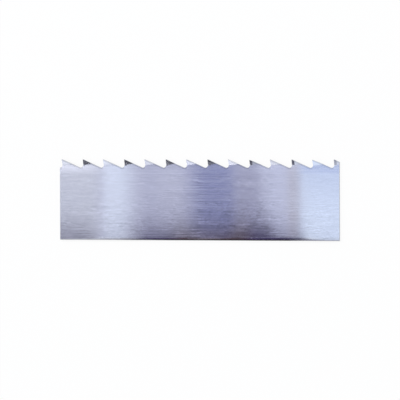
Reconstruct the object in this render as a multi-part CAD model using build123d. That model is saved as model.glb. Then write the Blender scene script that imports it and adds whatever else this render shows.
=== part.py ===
# A straight length of band saw blade: one piece of hardened spring steel band,
# with teeth ground into one edge and set to the two sides in turn.
# X runs along the band, Y across it towards the teeth, Z through its thickness.
# The blade lies on its side and its teeth point to -X. The origin is under the
# middle of the band, level with the tips of the teeth that lean down.
from build123d import *
import math
import os

# Band
band_width = 31.75      # back edge to tooth tips, 1 1/4 in
band_thickness = 1.1
back_corner = 0.4       # rounding of the two long corners of the back edge

# Teeth
tooth_count = 14
tooth_pitch = 8.467     # three teeth to the inch
gullet_depth = 3.28     # tooth tips to gullet bottoms
gullet_radius = 1.1
rake_angle = 8.0        # how far each cutting face leans forward, in degrees

# Set
tooth_set = 0.45        # how far a tip stands out beyond its side of the band
set_height = 2.5        # bend line to tip, down the line of the cutting face
set_tilt = 10.0         # how the bend line climbs towards the tooth's back, in degrees
bend_radius = 0.8       # inside the bend

# Ends, both sheared square
front_length = 0.8      # end of the band to the first tip
rear_length = 2.26      # last tip to the other end of the band

# Places that follow from the sizes above
band_length = front_length + (tooth_count - 1) * tooth_pitch + rear_length
first_tip = front_length - band_length / 2
tip_line = band_width / 2
half_thickness = band_thickness / 2
mid_height = tooth_set + half_thickness
rake = math.radians(rake_angle)
tilt = math.radians(set_tilt)

# The gullet ahead of a tooth, as seen from that tooth's tip. Its arc runs into the
# cutting face, and the back of the tooth before comes down onto it, also tangent.
gullet_drop = gullet_depth - gullet_radius
gullet_lead = (gullet_radius - gullet_drop * math.sin(rake)) / math.cos(rake)
back_run = tooth_pitch - gullet_lead
back_angle = math.degrees(
    math.atan2(gullet_drop, back_run) + math.asin(gullet_radius / math.hypot(gullet_drop, back_run))
)

# The bend line and the line of the cutting face cross here, seen from the tip. The tip
# stands this far above the bend line, and the tooth leans by the angle that gives its
# tip the stated set.
bend_start = (set_height * math.tan(rake), -set_height)
tip_rise = set_height * (math.cos(tilt) + math.tan(rake) * math.sin(tilt))
set_angle = 2 * math.atan(
    tooth_set / (tip_rise + math.sqrt(tip_rise**2 - tooth_set * (2 * bend_radius - tooth_set)))
)


def one_pitch_outline():
    """One pitch of the flat band, with its tooth's tip at the origin."""
    gullet = CenterArc(
        (-gullet_lead, -gullet_drop), gullet_radius, 270 - back_angle, 90 + back_angle + rake_angle
    )
    cutting_face = Line(gullet @ 1, (0, 0))
    back_foot = gullet @ 0 + Vector(tooth_pitch, 0)
    tooth_back = Line((0, 0), back_foot)
    below = Polyline(
        back_foot, (back_foot.X, -band_width), ((gullet @ 0).X, -band_width), gullet @ 0
    )
    return make_face([gullet, cutting_face, tooth_back, below])


def bent_strip():
    """The band's thickness above a bend line, leaning to +Y in the plane of the sketch."""
    centre = (0, half_thickness + bend_radius)
    lean = math.degrees(set_angle)
    inside = CenterArc(centre, bend_radius, -90, lean)
    outside = CenterArc(centre, bend_radius + band_thickness, -90, lean)
    leg = inside % 1 * 2 * tip_rise
    inside_leg = Line(inside @ 1, inside @ 1 + leg)
    outside_leg = Line(outside @ 1, outside @ 1 + leg)
    foot = Line(inside @ 0, outside @ 0)
    top = Line(inside_leg @ 1, outside_leg @ 1)
    return make_face([foot, inside, inside_leg, top, outside_leg, outside])


def one_pitch(outline, side):
    """One pitch of the band, its tooth set to +Z for side 1 and to -Z for side -1."""
    above_bend = Plane(
        origin=(*bend_start, 0),
        x_dir=(-math.sin(tilt), math.cos(tilt), 0),
        z_dir=(math.cos(tilt), math.sin(tilt), 0),
    )
    root = extrude(outline, half_thickness, both=True)
    root -= above_bend * Box(
        gullet_depth, 2 * band_thickness, 2 * tooth_pitch, align=(Align.MIN, Align.CENTER, Align.CENTER)
    )
    # Set first and sharpened after, so seen from the side the tooth keeps its outline.
    tip = above_bend * extrude(bent_strip(), tooth_pitch, both=True)
    tip &= extrude(outline, tooth_set + band_thickness, both=True)
    if side < 0:
        tip = mirror(tip, about=Plane.XY)
    return root + tip


def saw_blade():
    """The toothed band, with its back corners rounded and its ends cut to length."""
    outline = one_pitch_outline()
    leaning_down = one_pitch(outline, -1)
    leaning_up = one_pitch(outline, 1)
    # One more pitch at each end than the finished blade has tips. Tooth 0 is the first.
    stock = Part()
    pitches = []
    for number in range(-1, tooth_count + 1):
        tooth = leaning_down if number % 2 else leaning_up
        pitches.append(Pos(first_tip + number * tooth_pitch, tip_line, mid_height) * tooth)
    stock = stock + pitches
    long_corners = stock.edges().filter_by(Axis.X).group_by(Axis.Y)[0]
    stock = fillet(long_corners, min(back_corner, 0.45 * band_thickness))
    finished_length = Box(band_length, 2 * band_width, 4 * (tooth_set + band_thickness))
    return stock & finished_length


blade = saw_blade()
blade.label = "saw_blade"
os.makedirs("parts", exist_ok=True)
export_step(blade, "parts/saw_blade.step")
print(f"length {band_length:.2f} mm, back angle {back_angle:.2f}, lean {math.degrees(set_angle):.2f} degrees")
print(f"volume {blade.volume:.1f} mm3, {len(blade.solids())} solid, {len(blade.faces())} faces")
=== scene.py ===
# %% [markdown]
# # A length of band saw blade
#
# A band saw blade is one strip of spring steel with teeth ground into one edge.
# The strip is rolled and then brushed lengthwise, the teeth are ground across it,
# and every second tooth is bent to the other side, so that the cut is wider than
# the band. This lesson models the strip with mesh operators, bends its teeth the
# way a setting machine does, and then spends its effort on the steel.

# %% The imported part
import math
import random

import bmesh
import bpy
from mathutils import Matrix, Vector


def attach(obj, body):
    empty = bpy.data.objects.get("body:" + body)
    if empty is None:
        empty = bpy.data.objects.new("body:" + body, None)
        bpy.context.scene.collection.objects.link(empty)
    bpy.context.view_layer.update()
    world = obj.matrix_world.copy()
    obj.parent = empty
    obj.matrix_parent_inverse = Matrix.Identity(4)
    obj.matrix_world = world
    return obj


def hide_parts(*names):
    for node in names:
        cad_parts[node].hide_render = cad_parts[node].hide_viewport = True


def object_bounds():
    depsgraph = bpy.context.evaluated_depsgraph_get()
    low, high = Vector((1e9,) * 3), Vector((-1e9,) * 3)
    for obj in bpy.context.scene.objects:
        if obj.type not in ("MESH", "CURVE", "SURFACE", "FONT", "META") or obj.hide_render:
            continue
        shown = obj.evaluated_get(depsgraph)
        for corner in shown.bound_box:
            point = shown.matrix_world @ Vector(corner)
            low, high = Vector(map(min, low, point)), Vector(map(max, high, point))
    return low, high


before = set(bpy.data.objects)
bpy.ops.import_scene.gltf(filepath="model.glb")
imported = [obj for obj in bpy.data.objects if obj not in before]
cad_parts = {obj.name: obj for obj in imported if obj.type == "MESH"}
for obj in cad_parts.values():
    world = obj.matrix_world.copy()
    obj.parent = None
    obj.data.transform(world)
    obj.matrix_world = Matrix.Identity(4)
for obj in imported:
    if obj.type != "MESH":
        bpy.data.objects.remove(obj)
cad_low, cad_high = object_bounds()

print("nodes", sorted(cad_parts), "from", tuple(cad_low), "to", tuple(cad_high))

# %% [markdown]
# ## Sizes
#
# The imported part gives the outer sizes: length, width, and the height over the
# bent tips. The sizes of a tooth are the real ones, three teeth to the inch.
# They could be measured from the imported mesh, but named values are easier to read
# and to change.

# %% Sizes of the band and of a tooth, in metres
mm = 0.001
pitch = 8.467 * mm
tooth_count = 14
first_stub = 0.8 * mm
gullet_depth = 3.28 * mm
gullet_radius = 1.1 * mm
rake = math.radians(8)
tooth_set = 0.45 * mm
set_height = 2.5 * mm
set_tilt = math.radians(10)
bend_radius = 0.8 * mm
back_corner = 0.4 * mm

thickness = cad_high.z - cad_low.z - 2 * tooth_set
middle = (cad_high.z + cad_low.z) / 2
first_tip = Vector((cad_low.x + first_stub, cad_high.y, middle - thickness / 2))
print(f"band {thickness / mm:.2f} mm thick, first tip at x {first_tip.x / mm:.2f} mm")

# %% [markdown]
# ## One gullet and one tooth
#
# The edge of the blade repeats every pitch: a round gullet, a cutting face that
# leans forward, and a straight back. The gullet could be a list of points, but
# spinning one vertex round the gullet's centre gives the arc exactly. The back of
# the tooth before comes down onto the arc as a tangent, which fixes where it starts.

# %% The chain of edges of one pitch
gullet_drop = gullet_depth - gullet_radius
gullet_lead = (gullet_radius - gullet_drop * math.sin(rake)) / math.cos(rake)
back_run = pitch - gullet_lead
back_angle = math.atan2(gullet_drop, back_run) + math.asin(
    gullet_radius / math.hypot(gullet_drop, back_run)
)
gullet_steps = 20


def pitch_chain(bm, tip):
    """The gullet ahead of a tip, its cutting face, and its back down to the next gullet."""
    centre = tip - Vector((gullet_lead, gullet_drop, 0))
    down_back = Vector((-math.sin(back_angle), -math.cos(back_angle), 0))
    start = bm.verts.new(centre + down_back * gullet_radius)
    spun = bmesh.ops.spin(
        bm, geom=[start], cent=centre, axis=(0, 0, 1), steps=gullet_steps,
        angle=math.pi / 2 + back_angle + rake,
    )
    face_foot = spun["geom_last"][0]
    point = bmesh.ops.extrude_vert_indiv(bm, verts=[face_foot])["verts"][0]
    point.co = tip
    back_foot = bmesh.ops.extrude_vert_indiv(bm, verts=[point])["verts"][0]
    back_foot.co = start.co + Vector((pitch, 0, 0))


print(f"tooth backs fall by {math.degrees(back_angle):.1f} degrees")

# %% [markdown]
# ## The flat band
#
# The chains of all the teeth are welded end to end, closed round the back edge and
# filled. Knife cuts then trim the band to its length, and divide it at the gullets
# and just under them, so that each tooth is a face of its own that can be bent.
# A row of boxes with teeth cut out by booleans would give the same outline with a
# much poorer mesh.

# %% Outline, fill and knife cuts
along = Vector((1, 0, 0))
across = Vector((0, 1, 0))
through = Vector((0, 0, 1))
tiny = 0.001 * mm
root_margin = 0.6 * mm
root_line = cad_high.y - gullet_depth - root_margin


def all_of(bm):
    return bm.verts[:] + bm.edges[:] + bm.faces[:]


def knife(bm, at, normal, geometry=None, **clear):
    bmesh.ops.bisect_plane(
        bm, geom=geometry or all_of(bm), plane_co=at, plane_no=normal, dist=tiny / 10, **clear
    )


band = bmesh.new()
tips = [first_tip + along * pitch * number for number in range(tooth_count)]
for number in range(-1, tooth_count + 1):
    pitch_chain(band, first_tip + along * pitch * number)
bmesh.ops.remove_doubles(band, verts=band.verts, dist=tiny)
ends = sorted((v for v in band.verts if len(v.link_edges) == 1), key=lambda v: v.co.x)
corners = bmesh.ops.extrude_vert_indiv(band, verts=ends)["verts"]
for corner in corners:
    corner.co.y = cad_low.y
bmesh.ops.contextual_create(band, geom=corners)
bmesh.ops.edgeloop_fill(band, edges=band.edges)
knife(band, (cad_low.x, 0, 0), along, clear_inner=True)
knife(band, (cad_high.x, 0, 0), along, clear_outer=True)
for tip in tips[1:]:
    knife(band, tip - along * gullet_lead, along)
knife(band, (0, root_line, 0), across)
print(len(band.faces), "flat faces,", len(band.verts), "vertices")

# %% [markdown]
# ## Lines to bend on
#
# A setting machine bends each tip along a line that climbs towards the tooth's
# back. The bend has a radius, so the tooth gets a few close cuts there rather than
# one. They go in while the band is flat, because a cut through one flat face is the
# cleanest there is, and the thickness will carry them through. Each tip also loses
# a trace of its height here, as no two teeth of a ground blade are quite alike.

# %% Cuts for the bends, and tips worn a little
random.seed(14)
bend_steps = 6
tip_up = Vector((-math.sin(set_tilt), math.cos(set_tilt), 0))
bend_foot = Vector((set_height * math.tan(rake), -set_height, 0))
tip_rise = -bend_foot.dot(tip_up)
lean = 2 * math.atan(
    tooth_set / (tip_rise + math.sqrt(tip_rise**2 - tooth_set * (2 * bend_radius - tooth_set)))
)
bend_reach = (bend_radius + thickness) * math.sin(lean)
usual_wear = 0.05 * mm
# Two teeth are more worn than the others. Teeth are counted from the left, from 1.
more_worn = {10: 0.22 * mm, 13: 0.16 * mm}


def in_tooth(point, tip):
    in_pitch = -gullet_lead - tiny < point.x - tip.x < back_run + tiny
    return in_pitch and point.y > root_line - tiny


def with_edges_and_corners(faces):
    """These faces, their edges and their vertices, each once and always in the same order."""
    edges = [e for f in faces for e in f.edges]
    corners = [v for f in faces for v in f.verts]
    return list(dict.fromkeys(faces + edges + corners))


for number, tip in enumerate(tips, 1):
    for step in range(bend_steps + 1):
        tooth = [f for f in band.faces if in_tooth(f.calc_center_median(), tip)]
        height = bend_reach * step / bend_steps
        knife(band, tip + bend_foot + tip_up * height, tip_up, with_edges_and_corners(tooth))
    point = min(band.verts, key=lambda v: (v.co - tip).length)
    point.co.y -= more_worn.get(number, random.uniform(0, usual_wear))
print(f"each tip will lean {math.degrees(lean):.1f} degrees")

# %% [markdown]
# ## Thickness and the round back corners
#
# Extruding the flat face region gives the band its thickness. A Solidify modifier
# would do that too, but the bends to come move each side by itself, so both sides
# have to be there now. The two long corners of the back edge are dressed round on a
# real blade, so that it doesn't cut into the thrust bearing: a bevel of eight
# segments.

# %% Extrude, then bevel the back corners
corner_segments = 8
flat = band.faces[:]
walls = bmesh.ops.extrude_face_region(band, geom=flat)
raised = [g for g in walls["geom"] if isinstance(g, bmesh.types.BMVert)]
bmesh.ops.translate(band, verts=raised, vec=through * thickness)
bmesh.ops.recalc_face_normals(band, faces=band.faces)


def on_back(vert):
    return abs(vert.co.y - cad_low.y) < tiny


long_corners = [
    e for e in band.edges
    if all(map(on_back, e.verts)) and abs(e.verts[0].co.z - e.verts[1].co.z) < tiny
]
bmesh.ops.bevel(
    band, geom=long_corners, offset=back_corner, offset_type="OFFSET", segments=corner_segments,
    profile=0.5, affect="EDGES", clamp_overlap=True, material=-1,
)
print(len(band.faces), "faces after the back corners")

# %% [markdown]
# ## Setting the teeth
#
# The teeth are set first and sharpened after, so seen from the side each keeps its
# outline: a bend moves its vertices through the thickness only. The side inside the
# bend follows the small radius and the side outside it the large one, and both end
# in a straight slope. The first tooth leans towards the viewer, the second away from
# them, and so on. Turning the tip about its bend line is the other way, but
# it would push the tips out of the tooth line.

# %% Lift each tip along its bend
uneven_set = 0.04


def climb(height, radius, angle):
    """How far the band has risen at this height over the bend line."""
    arc_end = radius * math.sin(angle)
    if height < arc_end:
        return radius - math.sqrt(radius**2 - height**2)
    return radius * (1 - math.cos(angle)) + (height - arc_end) * math.tan(angle)


for number, tip in enumerate(tips, 1):
    side = 1 if number % 2 else -1
    angle = lean * (1 - random.uniform(0, uneven_set))
    for vert in band.verts:
        height = (vert.co - tip - bend_foot).dot(tip_up)
        if in_tooth(vert.co, tip) and height > 0:
            inside = (vert.co.z > middle) == (side > 0)
            vert.co.z += side * climb(height, bend_radius + (0 if inside else thickness), angle)

# %% [markdown]
# ## Two kinds of surface
#
# The flat sides keep the long brush marks of the strip. The tooth line and the two
# sheared ends were ground or cut across the band, so their marks run the other way
# and they are duller. Each gets its own material slot, chosen by which way the face
# looks, which is exact where a painted mask would blur. A fine bevel on every hard
# corner stands for the last touch of the deburring brush: with no width at all, an
# edge never catches the light.

# %% Mark the cut surfaces, soften the hard corners
sides, cuts = 0, 1
upright_below = 0.5
endwise_above = 0.9
hard_corner = math.radians(35)
edge_width = 0.04 * mm
edge_segments = 2
for face in band.faces:
    upright = abs(face.normal.z) < upright_below
    outline_face = upright and face.calc_center_median().y > root_line
    end_face = abs(face.normal.x) > endwise_above
    face.material_index = cuts if outline_face or end_face else sides
hard = [e for e in band.edges if len(e.link_faces) == 2 and e.calc_face_angle() > hard_corner]
bmesh.ops.bevel(
    band, geom=hard, offset=edge_width, offset_type="OFFSET", segments=edge_segments,
    profile=0.5, affect="EDGES", clamp_overlap=True, material=-1,
)
bmesh.ops.recalc_face_normals(band, faces=band.faces)
open_edges = [e for e in band.edges if len(e.link_faces) != 2]
print(len(hard), "hard corners softened,", len(open_edges), "open edges")

# %% The finished piece, with a map whose u runs along the band
uv = band.loops.layers.uv.new("along_band")
for face in band.faces:
    for corner in face.loops:
        corner[uv].uv = ((corner.vert.co - cad_low) / (cad_high.x - cad_low.x)).xy
mesh = bpy.data.meshes.new("toothed_band")
band.to_mesh(mesh)
band.free()
blade = bpy.data.objects.new("toothed_band", mesh)
bpy.context.scene.collection.objects.link(blade)
print(len(mesh.polygons), "faces in the finished blade")

# %% [markdown]
# ## Steel
#
# Bare steel is a metal: all its colour is in how it tints what it mirrors. Brushing
# leaves fine grooves along the band, so a highlight smears across them and stays
# sharp along them, which is what the shader's anisotropic setting does. It needs to
# know which way the grooves run, and the map made above tells it.
#
# The small helpers below add nodes and links. The nodes could be laid out by hand in
# the editor, but this way each material reads as a list of steps.

# %% A material, and a node with its inputs
def new_material(name):
    material = bpy.data.materials.new(name)
    material.use_nodes = True
    material.node_tree.nodes.clear()
    return material, material.node_tree


def add(tree, kind, inputs=None, **settings):
    """Adds a node. Each input is either a value to set or another node's socket to link."""
    node = tree.nodes.new(kind)
    for key, value in settings.items():
        setattr(node, key, value)
    for key, value in (inputs or {}).items():
        if isinstance(value, bpy.types.NodeSocket):
            tree.links.new(value, node.inputs[key])
        else:
            node.inputs[key].default_value = value
    return node


brushed, tree = new_material("brushed_band_steel")
print("the first material is", brushed.name)

# %% Sums, products and ramps
def maths(tree, operation, a, b=0.0, c=0.0):
    return add(tree, "ShaderNodeMath", {0: a, 1: b, 2: c}, operation=operation).outputs[0]


def total(tree, value, *others):
    for other in others:
        value = maths(tree, "ADD", value, other)
    return value


def product(tree, value, *others):
    for other in others:
        value = maths(tree, "MULTIPLY", value, other)
    return value


def ease(tree, value, start, end, low=0.0, high=1.0):
    """A ramp: it goes smoothly from low to high while the value goes from start to end."""
    node = add(
        tree, "ShaderNodeMapRange",
        {"Value": value, "From Min": start, "From Max": end, "To Min": low, "To Max": high},
        interpolation_type="SMOOTHSTEP",
    )
    return node.outputs["Result"]


# %% [markdown]
# ## Places on the band
#
# Every finish on the sides depends on where a point lies: how far under the tips,
# and how far along the band. A picture wrapped round the blade could hold all of it,
# but distances worked out from the object's own coordinates stay sharp however
# close the camera comes.

# %% Where a point lies on the band
def object_place(tree):
    return add(tree, "ShaderNodeTexCoord").outputs["Object"]


def x_and_y(tree, place):
    return add(tree, "ShaderNodeSeparateXYZ", {0: place}).outputs[:2]


place = object_place(tree)
x, y = x_and_y(tree, place)
below_tip = maths(tree, "SUBTRACT", first_tip.y, y)
from_first = maths(tree, "SUBTRACT", x, first_tip.x)
print(f"places are measured from the first tip, at {first_tip.x / mm:.2f}, {first_tip.y / mm:.2f} mm")

# %% [markdown]
# ## The hardened zone
#
# The teeth were hardened, down to a thin pale line under the gullets, and the steel
# above that line is a trace lighter, up to where the tips are bent. A line of one
# strength would look printed on, so it is multiplied by streaks, which are noise
# drawn out to a given length each way.
#
# Ramps are written as named values, in the order that ease takes them.

# %% The hardened zone and its pale line
def streaks(tree, place, size, detail):
    """Noise drawn out to marks this long along X, Y and Z. A length of 1, a metre, is even."""
    scale = tuple(1 / length for length in size)
    moved = add(tree, "ShaderNodeMapping", {"Vector": place, "Scale": scale})
    noise = add(
        tree, "ShaderNodeTexNoise",
        {"Vector": moved.outputs[0], "Scale": 1.0, "Detail": detail, "Roughness": 0.6},
    )
    return noise.outputs[0]


zone_depth = 2.2 * mm
line_glow = (0.15 * mm, 0.45 * mm, 0.07, 0.0)
line_patches = (0.4, 0.6, 0.3, 1.0)
line_patch_size = (9 * mm, 50 * mm, 1)
zone_glow = (-1.2 * mm, 0.2 * mm, 0.07, 0.0)
under_bends = (2.0 * mm, 2.6 * mm)
past_line = maths(tree, "SUBTRACT", below_tip, gullet_depth + zone_depth)
pale_line = product(
    tree,
    ease(tree, maths(tree, "ABSOLUTE", past_line), *line_glow),
    ease(tree, streaks(tree, place, line_patch_size, detail=1.0), *line_patches),
)
hardened = product(tree, ease(tree, past_line, *zone_glow), ease(tree, below_tip, *under_bends))
print(f"the zone ends {(gullet_depth + zone_depth) / mm:.2f} mm under the tips")

# %% [markdown]
# ## Brush marks
#
# The brush leaves straight scratches that lie side by side, some long, some short.
# Streaks of noise are the usual stand-in, but they swell and fade like ripples. Here
# the band is divided into thin rows, and each row into marks of one length that
# start at a place of their own, and white noise gives every mark one number. The
# rows are turned a very little, because the strip didn't run quite straight under
# the brush. The marks are strongest towards the back edge and a little right of the
# middle, where their contrast is partly painted glint that stands in for what the
# brushed facets mirror there, and faint above the pale line.

# %% Rows of scratches
scratch_width = 0.392 * mm
brush_slope = 0.0037
first_scratch = 0.098 * mm


def scratches(tree, x, y, length):
    """Straight scratches of one length side by side, each with its own number about 0."""
    aslant = maths(tree, "ADD", maths(tree, "MULTIPLY", x, brush_slope), first_scratch)
    row = maths(tree, "FLOOR", maths(tree, "DIVIDE", maths(tree, "ADD", y, aslant), scratch_width))
    row_start = add(tree, "ShaderNodeTexWhiteNoise", {"W": row}, noise_dimensions="1D").outputs[0]
    mark = maths(tree, "FLOOR", maths(tree, "ADD", maths(tree, "DIVIDE", x, length), row_start))
    cell = add(tree, "ShaderNodeCombineXYZ", {0: mark, 1: row}).outputs[0]
    noise = add(tree, "ShaderNodeTexWhiteNoise", {"Vector": cell}, noise_dimensions="2D")
    number = add(tree, "ShaderNodeSeparateColor", {0: noise.outputs["Color"]}).outputs[0]
    return maths(tree, "SUBTRACT", number, 0.5)


print(round((cad_high.y - cad_low.y) / scratch_width), "rows of scratches across the band")

# %% Four lengths of scratches, how hard the brush pressed, and painted glints
scratch_kinds = {
    # length, and how much it changes the shade
    "long": (41 * mm, 0.06),
    "middling": (9 * mm, 0.08),
    "short": (2.6 * mm, 0.10),
    "fine": (1.0 * mm, 0.08),
}
pressed_patch_size = (9 * mm, 4 * mm, 1)
pressed_patches = (0.35, 0.65, 0.5, 1.2)
pressed_in_zone = (-0.4 * mm, 0.2 * mm, 0.4, 1.0)
# The last three ramps paint glints: the marks grow stronger towards the back edge and right of the middle,
# and weaker at the right end, standing in for what the brushed facets mirror there.
glint_to_back = (3 * mm, -11 * mm, 0.75, 2.0)
glint_to_middle = (-26 * mm, 5 * mm, 0.78, 1.5)
glint_to_end = (24 * mm, 38 * mm, 1.0, 0.42)
marks = {kind: scratches(tree, x, y, length) for kind, (length, _) in scratch_kinds.items()}
pressure_and_glint = product(
    tree,
    ease(tree, streaks(tree, place, pressed_patch_size, detail=1.0), *pressed_patches),
    ease(tree, past_line, *pressed_in_zone),
    ease(tree, y, *glint_to_back),
    ease(tree, x, *glint_to_middle),
    ease(tree, x, *glint_to_end),
)
print(len(marks), "kinds of scratches:", ", ".join(marks))

# %% [markdown]
# ## One grey over the steel
#
# The marks, the pale line and the hardened zone add up to one shade. The grinding
# wheel left a darker rim along the tooth line, and a painted shade darkens the strip
# along the back edge, standing in for the dark that edge mirrors. Both multiply it,
# and the shade multiplies the colour of the steel.
# Painting the dark and light bands on as well would be quick, but those are
# mirrored, and paint would stay where it is when the blade turns.
#
# The rim has to follow every tooth. The teeth repeat, so a wrap of the distance from
# the first tip finds the place behind each tip, and two straight lines make the
# outline from there.

# %% The darker rim, and painted shade along the back edge
def below_tooth_line(tree, below_tip, from_first):
    """How far a point lies inside the backs of the teeth and the gullets."""
    behind_tip = maths(tree, "WRAP", from_first, pitch, 0.0)
    fall = maths(tree, "MULTIPLY", behind_tip, math.tan(back_angle))
    return maths(tree, "SUBTRACT", below_tip, maths(tree, "MINIMUM", fall, gullet_depth))


rim_fade = (0.25 * mm, 0.75 * mm, 0.8, 1.0)
# Painted shade: the strip along the back edge is darkened in the colour, standing in for the dark that edge
# mirrors.
back_shade_fade = (cad_low.y + 0.6 * mm, cad_low.y + 0.1 * mm, 1.0, 0.7)
ground_rim = ease(tree, below_tooth_line(tree, below_tip, from_first), *rim_fade)
painted_back_shade = ease(tree, y, *back_shade_fade)
print(f"the ground rim fades out {rim_fade[1] / mm:.2f} mm inside the tooth line")

# %% The colour and the roughness
def blend_colour(tree, share, a, b, kind="MIX"):
    """Colour a where the share is 0 and colour b where it is 1."""
    inputs = {0: share, 6: a, 7: b}
    return add(tree, "ShaderNodeMix", inputs, data_type="RGBA", blend_type=kind).outputs[2]


steel = (0.60, 0.61, 0.66, 1)
rough_marks = (-0.5, 0.5, 0.13, 0.17)
shade = 1.0
for kind, (_, depth) in scratch_kinds.items():
    shade = total(tree, shade, product(tree, marks[kind], pressure_and_glint, depth))
shade = product(tree, total(tree, shade, pale_line, hardened), ground_rim, painted_back_shade)
grey = add(tree, "ShaderNodeCombineColor", {0: shade, 1: shade, 2: shade}).outputs[0]
colour = blend_colour(tree, 1.0, steel, grey, "MULTIPLY")
rough = ease(tree, marks["middling"], *rough_marks)
print("steel", steel[:3], "with a roughness from", rough_marks[2], "to", rough_marks[3])

# %% [markdown]
# ## Forms too fine for the mesh
#
# A mirror shows slopes that a ruler would miss. The side of the band rolls off beside
# its back edge. Above the pale line it was ground a trace thinner, more so towards
# the teeth. The teeth that lean away go on curling to their tips, and their
# cutting faces are turned over a little at the edge. None of this is deeper than
# 0.2 mm on the flat side. Cut into the mesh it would take thousands of faces, so it
# is a sum of heights for one Bump node. They are true heights in metres, so the
# node's distance and strength stay at 1.

# %% The roll-off beside the back edge
roll_angle = math.radians(26)
roll_widths = (10 * mm, 40 * mm, 0.9 * mm, 1.5 * mm)
roll_width = ease(tree, x, *roll_widths)
in_roll = maths(tree, "DIVIDE", maths(tree, "SUBTRACT", y, cad_low.y), roll_width)
in_roll = maths(tree, "MAXIMUM", maths(tree, "SUBTRACT", 1.0, in_roll), 0.0)
roll_off = product(tree, maths(tree, "POWER", in_roll, 2.0), roll_width, -math.tan(roll_angle) / 2)
print(f"rolls off over {roll_widths[2] / mm:.1f} mm at the left, {roll_widths[3] / mm:.1f} mm at the right")

# %% The ground zone, a trace thinner towards the teeth
relief_angle = math.radians(1.0)
relief_width = 3.3 * mm
relief_curve = 14.0


def curl(tree, run, curve):
    """How far a side falls along a run when its slope grows by this much a metre."""
    return product(tree, maths(tree, "POWER", run, 2.0), -curve / 2)


into_zone = maths(tree, "MAXIMUM", product(tree, past_line, -1.0), 0.0)
into_zone = maths(tree, "MINIMUM", into_zone, relief_width)
relief = product(tree, into_zone, -math.tan(relief_angle))
relief_curl = curl(tree, into_zone, relief_curve)
deepest = relief_width * (math.tan(relief_angle) + relief_curve * relief_width / 2)
print(f"ground thinner by up to {deepest / mm:.2f} mm on each side")

# %% The tips that lean away, and the turned edge of their cutting faces
def behind_even_face(tree, below_tip, from_first):
    """How far a point lies behind the cutting face of the last tooth that leans away."""
    since_even = maths(tree, "SUBTRACT", from_first, pitch)
    behind_tip = maths(tree, "WRAP", since_even, 2 * pitch, 0.0)
    return maths(tree, "SUBTRACT", behind_tip, maths(tree, "MULTIPLY", below_tip, math.tan(rake)))


tip_curve = 29.0
curl_height = 2.4 * mm
curl_end = 0.97 * pitch
turned_width = 1.1 * mm
turned_angle = math.radians(5.5)
on_tip = (1.9 * mm, 2.5 * mm, 1.0, 0.0)
behind_even = behind_even_face(tree, below_tip, from_first)
above_bend = maths(tree, "MAXIMUM", maths(tree, "SUBTRACT", curl_height, below_tip), 0.0)
above_bend = product(tree, above_bend, maths(tree, "LESS_THAN", behind_even, curl_end))
tip_curl = curl(tree, above_bend, tip_curve)
in_turn = maths(tree, "MAXIMUM", maths(tree, "SUBTRACT", turned_width, behind_even), 0.0)
turned_edge = product(tree, in_turn, ease(tree, below_tip, *on_tip), -math.tan(turned_angle))
print(f"tips curl down by {tip_curve * curl_height**2 / 2 / mm:.2f} mm")

# %% The shader of the brushed sides
# It smears highlights along its tangent, so a quarter of a turn smears them across the grooves.
quarter_turn = 0.25
height = total(tree, roll_off, relief, relief_curl, tip_curl, turned_edge)
fine_form = add(tree, "ShaderNodeBump", {"Height": height, "Distance": 1.0, "Strength": 1.0})
tangent = add(tree, "ShaderNodeTangent", direction_type="UV_MAP", uv_map="along_band")
shader = add(tree, "ShaderNodeBsdfPrincipled", {
    "Base Color": colour, "Metallic": 1.0, "Roughness": rough, "Anisotropic": 1.0,
    "Anisotropic Rotation": quarter_turn, "Tangent": tangent.outputs[0], "Normal": fine_form.outputs[0],
})
add(tree, "ShaderNodeOutputMaterial", {"Surface": shader.outputs[0]})
mesh.materials.append(brushed)
print(len(tree.nodes), "nodes in", brushed.name)

# %% [markdown]
# ## The ground tooth line
#
# A grinding wheel cut the gullets and sharpened the teeth from side to side, and the
# ends were sheared the same way, so here the marks run through the thickness. They
# are close and shallow, and the surface is duller than the brushed one. The scratch
# rows above lie flat on the sides and wouldn't follow a gullet round, but noise in
# three dimensions, drawn out along Z, does.

# %% Ground tooth line and sheared ends
ground_mark_size = (0.08 * mm, 0.08 * mm, 3 * mm)
ground_mark_depth = 0.002 * mm
ground_marks = (0.3, 0.7)
ground_rough = 0.42
darker_steel = (0.40, 0.40, 0.44, 1)
lighter_steel = (0.58, 0.59, 0.64, 1)
ground, tree = new_material("ground_tooth_steel")
across_marks = streaks(tree, object_place(tree), ground_mark_size, detail=3.0)
colour = blend_colour(tree, ease(tree, across_marks, *ground_marks), darker_steel, lighter_steel)
lines = add(
    tree, "ShaderNodeBump", {"Height": across_marks, "Distance": ground_mark_depth, "Strength": 1.0}
)
shader = add(tree, "ShaderNodeBsdfPrincipled", {
    "Base Color": colour, "Metallic": 1.0, "Roughness": ground_rough, "Normal": lines.outputs[0],
})
add(tree, "ShaderNodeOutputMaterial", {"Surface": shader.outputs[0]})
mesh.materials.append(ground)
print("materials", [m.name for m in mesh.materials])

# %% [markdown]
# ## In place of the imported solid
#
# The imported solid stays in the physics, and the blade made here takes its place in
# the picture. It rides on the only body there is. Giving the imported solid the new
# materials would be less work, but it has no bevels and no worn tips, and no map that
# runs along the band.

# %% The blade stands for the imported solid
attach(blade, "root")
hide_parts("saw_blade")
print(blade.name, "replaces saw_blade")

# %% [markdown]
# ## Studio
#
# The photo has a plain white background. A floor and a room that are white to the
# camera and in reflections give that, and to all other light the floor is matt and
# the room a little dimmer. The camera sees a tenth of the matt paper too, and in
# it the blade's soft shadow. One large lamp, high up beyond the teeth, lights the
# floor and the cut surfaces. It isn't seen in reflections: what the mirror-like sides
# show is built apart, below. Stronger lamps could whiten the floor, but they would
# change the steel as well.

# %% Floor
floor_reach = 8


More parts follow.
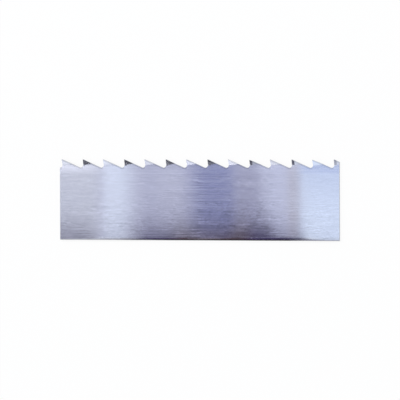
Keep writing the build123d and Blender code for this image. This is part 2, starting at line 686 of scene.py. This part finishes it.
def plane(name, low, high, z):
    """A level rectangle from one corner to the other, which isn't part of the blade."""
    bm = bmesh.new()
    bmesh.ops.create_grid(bm, x_segments=1, y_segments=1, size=0.5)
    size = Vector((high[0] - low[0], high[1] - low[1], 1))
    bmesh.ops.scale(bm, vec=size, verts=bm.verts)
    bmesh.ops.translate(
        bm, vec=((low[0] + high[0]) / 2, (low[1] + high[1]) / 2, z), verts=bm.verts
    )
    flat_mesh = bpy.data.meshes.new(name)
    bm.to_mesh(flat_mesh)
    bm.free()
    made = bpy.data.objects.new(name, flat_mesh)
    bpy.context.scene.collection.objects.link(made)
    return made


def seen_directly(tree):
    """1 for what the camera sees, itself or in or through something, and 0 for other light."""
    rays = add(tree, "ShaderNodeLightPath").outputs
    both = maths(tree, "MAXIMUM", rays["Is Camera Ray"], rays["Is Glossy Ray"])
    return maths(tree, "MAXIMUM", both, rays["Is Transmission Ray"])


white = (1, 1, 1, 1)
off_white = (0.93, 0.93, 0.93, 1)
glow_share = 0.9
floor = plane("floor", (-floor_reach, -floor_reach), (floor_reach, floor_reach), cad_low.z)
paper, tree = new_material("white_paper_floor")
matt = add(tree, "ShaderNodeBsdfDiffuse", {"Color": off_white})
glow = add(tree, "ShaderNodeEmission", {"Color": white, "Strength": 1.0})
share = product(tree, seen_directly(tree), glow_share)
both = add(tree, "ShaderNodeMixShader", {0: share, 1: matt.outputs[0], 2: glow.outputs[0]})
add(tree, "ShaderNodeOutputMaterial", {"Surface": both.outputs[0]})
floor.data.materials.append(paper)
print("floor", 2 * floor_reach, "m wide")

# %% Room
soft_white = (0.95, 0.97, 1.0, 1)
dimmer = 0.85
room = bpy.data.worlds.new("white_room")
bpy.context.scene.world = room
room.use_nodes = True
tree = room.node_tree
tree.nodes.clear()
lit = add(tree, "ShaderNodeBackground", {"Color": soft_white, "Strength": dimmer})
seen = add(tree, "ShaderNodeBackground", {"Color": white, "Strength": 1.0})
both = add(tree, "ShaderNodeMixShader", {0: seen_directly(tree), 1: lit.outputs[0], 2: seen.outputs[0]})
add(tree, "ShaderNodeOutputWorld", {"Surface": both.outputs[0]})
print(room.name, "lights the blade at a strength of", dimmer)

# %% Lamp
lamp_data = bpy.data.lights.new("softbox", "AREA")
lamp_data.shape = "RECTANGLE"
lamp_data.size = 0.8
lamp_data.size_y = 0.5
lamp_data.energy = 3.0
lamp = bpy.data.objects.new("softbox", lamp_data)
lamp.location = (-0.3, 0.5, 0.9)
lamp.rotation_euler = (-lamp.location).to_track_quat("-Z", "Y").to_euler()
lamp.visible_glossy = False
bpy.context.scene.collection.objects.link(lamp)
print(f"lamp of {lamp_data.energy:.0f} W, {lamp.location.length:.2f} m away")

# %% [markdown]
# ## What the steel mirrors
#
# A brushed strip shows its surroundings more than itself, so they are part of the
# picture. A ceiling hangs over the blade that only reflections see, and panels with
# soft edges are laid on it one over the other. From left to right they step from
# bright to dark and back, which gives the blade its bands of light and shade. Teeth
# that lean away look up past the tooth line, at a dark card. Teeth that lean to the
# viewer look back over the band, at bright cards. Area lamps could take the place of
# the panels, but each has one colour and hard edges, and would light the floor too.
#
# Past the back edge a curtain darkens the ceiling. It has a hanging part and a hem
# low beside the blade, which the rolled back edge mirrors as a thin dark line.

# %% Cards that are seen only in reflections
ceiling_height = 150 * mm
ceiling_reach = 600 * mm


def only_in_reflections(card):
    """Hides a card from all other rays, and returns the tree of its new material."""
    for ray in ("camera", "diffuse", "shadow", "transmission", "volume_scatter"):
        setattr(card, "visible_" + ray, False)
    material, tree = new_material(card.name)
    card.data.materials.append(material)
    return tree


def patch(tree, x, y, x_range, y_range):
    """1 inside a rectangle, 0 outside. Each range is from, to, softness of both, in mm."""
    share = 1.0
    for value, (start, end, start_soft, end_soft) in ((x, x_range), (y, y_range)):
        rise = ease(tree, value, (start - start_soft / 2) * mm, (start + start_soft / 2) * mm)
        fall = ease(tree, value, (end - end_soft / 2) * mm, (end + end_soft / 2) * mm, 1.0, 0.0)
        share = product(tree, rise, fall, share)
    return share


def finish_card(tree, colour, density=1.0):
    """Lets the card glow, and lets light through where density is below 1."""
    glow = add(tree, "ShaderNodeEmission", {"Color": colour, "Strength": 1.0})
    clear = add(tree, "ShaderNodeBsdfTransparent")
    both = add(tree, "ShaderNodeMixShader", {0: density, 1: clear.outputs[0], 2: glow.outputs[0]})
    add(tree, "ShaderNodeOutputMaterial", {"Surface": both.outputs[0]})


ceiling = plane("ceiling", (-ceiling_reach, -ceiling_reach), (ceiling_reach, ceiling_reach), ceiling_height)
tree = only_in_reflections(ceiling)
print(ceiling.name, "hangs", round(ceiling_height / mm), "mm over the floor")

# %% The panels on the ceiling
all_x = (-700, 700, 1, 1)
all_y = (-700, 700, 1, 1)
panels = {
    # x range and y range (from, to, softness of each end), colour
    "left end": ((-130, -84, 60, 5), all_y, (0.86, 0.89, 1.02, 1)),
    "bright band": ((-81.5, -70, 2, 10), all_y, (1.13, 1.21, 1.41, 1)),
    "left end, nearer the teeth": ((-130, -84, 60, 8), (5, 700, 16, 1), (0.77, 0.80, 0.92, 1)),
    "left end, for the ground zone": ((-130, -84, 60, 14), (29, 700, 12, 1), (2.90, 2.90, 3.10, 1)),
    "step down": ((-64, -58, 4, 4), all_y, (0.74, 0.76, 0.97, 1)),
    "dark band": ((-43, -22, 14, 8), all_y, (0.355, 0.385, 0.67, 1)),
    "step up": ((-24, -13, 6, 6), all_y, (0.56, 0.57, 0.78, 1)),
    "second step up": ((-11, 4, 8, 3), all_y, (0.83, 0.86, 1.09, 1)),
    "step up, nearer the teeth": ((-24, -13, 6, 6), (8, 700, 30, 1), (0.48, 0.49, 0.68, 1)),
    "second step up, nearer the teeth": ((-11, 4, 8, 3), (8, 700, 30, 1), (0.72, 0.75, 0.97, 1)),
    "thin shadow": ((-1, 4, 2, 2), all_y, (0.72, 0.71, 0.83, 1)),
    "right end": ((4.5, 60, 2.5, 40), all_y, (1.14, 1.27, 1.48, 1)),
    "right end, nearer the teeth": ((4.5, 60, 6, 40), (9, 700, 26, 1), (0.54, 0.65, 1.00, 1)),
    "beyond the teeth": (all_x, (44, 700, 20, 1), (1.05, 1.11, 1.22, 1)),
    "card for tips that lean away": ((-190, -32, 20, 48), (44, 140, 16, 40), (0.05, 0.045, 0.06, 1)),
    "card for the other tips": ((-100, 8, 12, 12), (-80, -40, 20, 12), (1.70, 1.75, 1.80, 1)),
    "brighter part of that card": ((-52, -8, 10, 10), (-80, -40, 20, 12), (2.70, 2.75, 2.80, 1)),
}
room_light = (0.92, 0.94, 1.00, 1)
lilac_wall = (0.79, 0.81, 1.01, 1)
wall_range = (-130, 60, 60, 40)
x, y = x_and_y(tree, object_place(tree))
colour = blend_colour(tree, patch(tree, x, y, wall_range, all_y), room_light, lilac_wall)
for x_range, y_range, light in panels.values():
    colour = blend_colour(tree, patch(tree, x, y, x_range, y_range), colour, light)
print(len(panels), "panels on the ceiling")

# %% The curtain on the ceiling, past the back edge
dark_cloth = (0.02, 0.015, 0.02, 1)
curtain_parts = (
    # x range and y range, as for a panel, and how much of the ceiling the part hides
    ((-84, -1, 8, 8), (-160, -78, 4, 18), 0.75),
    ((-300, 300, 100, 100), (-160, -78, 4, 24), 0.2),
)
hidden = 0.0
for x_range, y_range, share in curtain_parts:
    hidden = total(tree, hidden, product(tree, patch(tree, x, y, x_range, y_range), share))
finish_card(tree, blend_colour(tree, hidden, colour, dark_cloth))
print("the curtain hides up to", sum(share for *_, share in curtain_parts), "of the ceiling")

# %% The curtain's hanging part and its hem
curtain_left = -68 * mm
curtain_right = 1 * mm
curtain_bottom = 12 * mm
curtain_distance = 160 * mm
hanging = plane("curtain", (curtain_left, curtain_bottom), (curtain_right, ceiling_height), 0)
hanging.location = (0, -curtain_distance, 0)
hanging.rotation_euler = (math.radians(90), 0, 0)
finish_card(only_in_reflections(hanging), dark_cloth)

hem_low = (-45 * mm, -150 * mm)
hem_high = (45 * mm, -16.5 * mm)
hem_height = 0.05 * mm
hem_ranges = ((-32, 38, 8, 8), (-148, -17.5, 2, 1))
hem = plane("curtain_hem", hem_low, hem_high, cad_low.z + hem_height)
tree = only_in_reflections(hem)
x, y = x_and_y(tree, object_place(tree))
finish_card(tree, dark_cloth, patch(tree, x, y, *hem_ranges))
print("the curtain hangs", round(curtain_distance / mm), "mm from the middle of the blade")

# %% [markdown]
# ## The dark lower middle
#
# The lower half of the blade mirrors something dark and close, strongest in the
# middle and in a spot near the right end. One dark card would end at one height all
# along, and this ends softly, at another height in each place. So a film of
# smoke-coloured glass hangs low over the back half of the blade, and its patches
# add up. Where they are thin, the ceiling shows through. The film is bluish, and
# browner in its middle.

# %% A film of smoke
film_height = 40 * mm
film_reach = 300 * mm
smoke = {
    # x range and y range (from, to, softness of each end), how much it hides
    "all along": ((-300, 300, 1, 1), (-38, -13, 14, 12), 0.20),
    "wide haze": ((-50, 19, 14, 6), (-38, 0, 14, 16), 0.11),
    "left of the middle": ((-37.5, -14, 14, 8), (-38, -14, 14, 8), 0.70),
    "middle": ((-14, -1, 8, 8), (-38, -14, 14, 8), 0.59),
    "right of the middle": ((-1, 21, 8, 6), (-38, -14, 14, 8), 0.66),
    "haze at the right": ((14, 25, 8, 6), (-38, -10, 14, 6), 0.12),
    "haze up to the teeth": ((-25, 19, 12, 6), (-38, 5, 14, 10), 0.03),
    "darker to the right": ((5, 20, 12, 8), (-38, -11, 14, 10), 0.46),
    "spot near the right end": ((20, 26, 4, 6), (-38, -17, 14, 8), 0.64),
    "end of that spot": ((22, 33, 4, 6), (-38, -16, 14, 4), 0.42),
    "left end": ((-300, -54, 1, 8), (-38, -10, 14, 12), 0.35),
    "left end, low": ((-300, -40, 1, 8), (-38, -16, 14, 6), 0.12),
    "right end, low": ((16, 34, 8, 4), (-38, -17, 14, 4), 0.30),
}
bluish_smoke = (0.055, 0.035, 0.12, 1)
brownish_smoke = (0.075, 0.03, 0.03, 1)
browner_ranges = ((-20, 10, 10, 10), (-38, -6, 14, 8))
film = plane("smoke_film", (-film_reach, -film_reach), (film_reach, film_reach), film_height)
tree = only_in_reflections(film)
x, y = x_and_y(tree, object_place(tree))
density = 0.0
for x_range, y_range, share in smoke.values():
    density = total(tree, density, product(tree, patch(tree, x, y, x_range, y_range), share))
density = maths(tree, "MINIMUM", density, 1.0)
browner = patch(tree, x, y, *browner_ranges)
finish_card(tree, blend_colour(tree, browner, bluish_smoke, brownish_smoke), density)
print(len(smoke), "patches of smoke,", round(film_height / mm), "mm over the floor")

# %% [markdown]
# ## Camera
#
# The photo was taken from a long way off with a long lens, square to the blade's
# width and turned about fifteen degrees along its length: the teeth look closer
# together at the left than at the right. Moved about by eye, a camera gets the
# outline nearly right and that spacing wrong, so its place follows from the turn,
# its distance, and how many pixels of the picture a metre takes.

# %% Camera
image_width = 400
pixels_per_metre = 2554
distance = 1.974
turned = math.radians(-14.97)
tipped = math.radians(1.41)
rolled = math.radians(0.21)
aim = Vector((0.39, -0.04, 0)) * mm
to_camera = (
    Matrix.Rotation(rolled, 4, "Z") @ Matrix.Rotation(tipped, 4, "X") @ Matrix.Rotation(turned, 4, "Y")
)
place_camera = Matrix.Translation((0, 0, middle)) @ to_camera.inverted()
camera_data = bpy.data.cameras.new("camera")
camera_data.sensor_width = 36
camera_data.lens = camera_data.sensor_width * pixels_per_metre * distance / image_width
camera_data.clip_start = 0.1
camera_data.clip_end = 20
camera = bpy.data.objects.new("camera", camera_data)
camera.matrix_world = place_camera @ Matrix.Translation(aim + Vector((0, 0, distance)))
bpy.context.scene.collection.objects.link(camera)
bpy.context.scene.camera = camera
bpy.context.scene.view_settings.view_transform = "Standard"
print("camera at", tuple(round(c, 3) for c in camera.matrix_world.translation))
